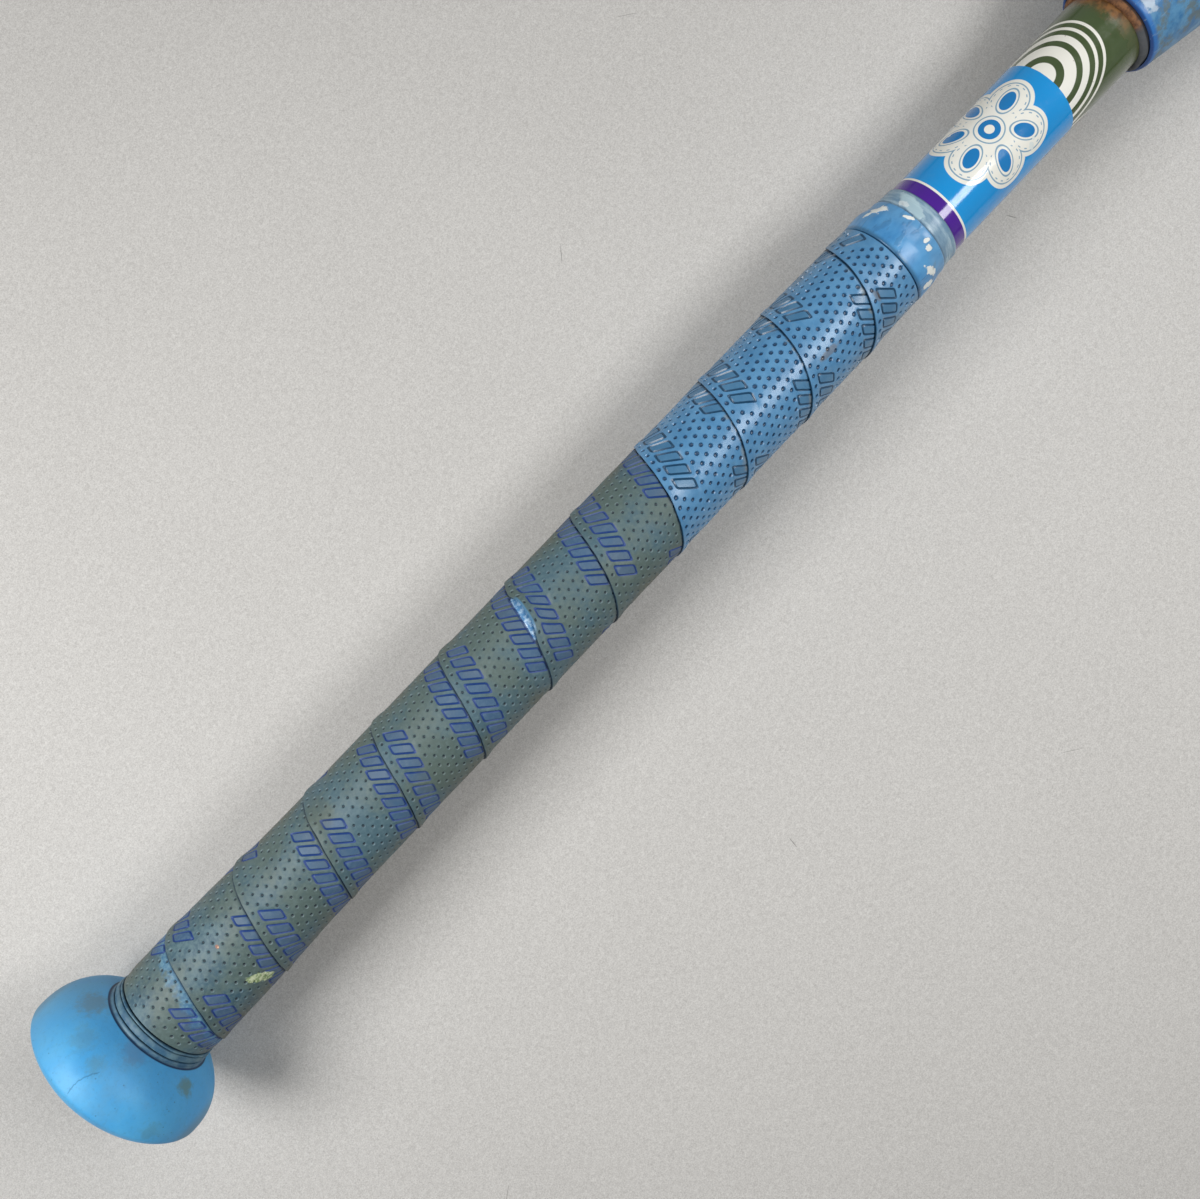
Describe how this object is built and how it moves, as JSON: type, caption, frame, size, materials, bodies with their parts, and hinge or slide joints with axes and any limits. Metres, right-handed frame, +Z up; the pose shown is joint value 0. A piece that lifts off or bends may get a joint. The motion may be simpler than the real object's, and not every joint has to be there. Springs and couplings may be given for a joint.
{
  "type": "softball bat",
  "caption": "Softball bat with a rounded knob, wound dimpled grip tape, painted handle, rubber joint, and a tapered barrel closed by a dished end cap.",
  "frame": {"origin": "on the surface that the bat lies on, under the middle of its length", "axes": "+X runs along the bat from the knob to the end cap, +Z is up, and the bat lies on its barrel with its axis level"},
  "size_m": [0.8636, 0.057, 0.057],
  "materials": {
    "knob_rubber": "matte",
    "handle_paint": "gloss",
    "plug_foam": "matte",
    "tape_polymer": "matte",
    "band_polymer": "satin",
    "clear_film": "gloss",
    "joint_rubber": "matte",
    "barrel_paint": "satin",
    "liner_laminate": "satin",
    "cap_plastic": "matte"
  },
  "bodies": {
    "root": {"knob": "knob_rubber", "handle_tube": "handle_paint", "handle_butt_plug": "plug_foam", "handle_foam_plug": "plug_foam", "grip_start_strip": "tape_polymer", "grip_tape": "tape_polymer", "finishing_band": "band_polymer", "grip_edge_ring": "clear_film", "connection_bushing": "joint_rubber", "barrel_shell": "barrel_paint", "barrel_liner": "liner_laminate", "end_cap": "cap_plastic"}
  },
  "joints": []
}
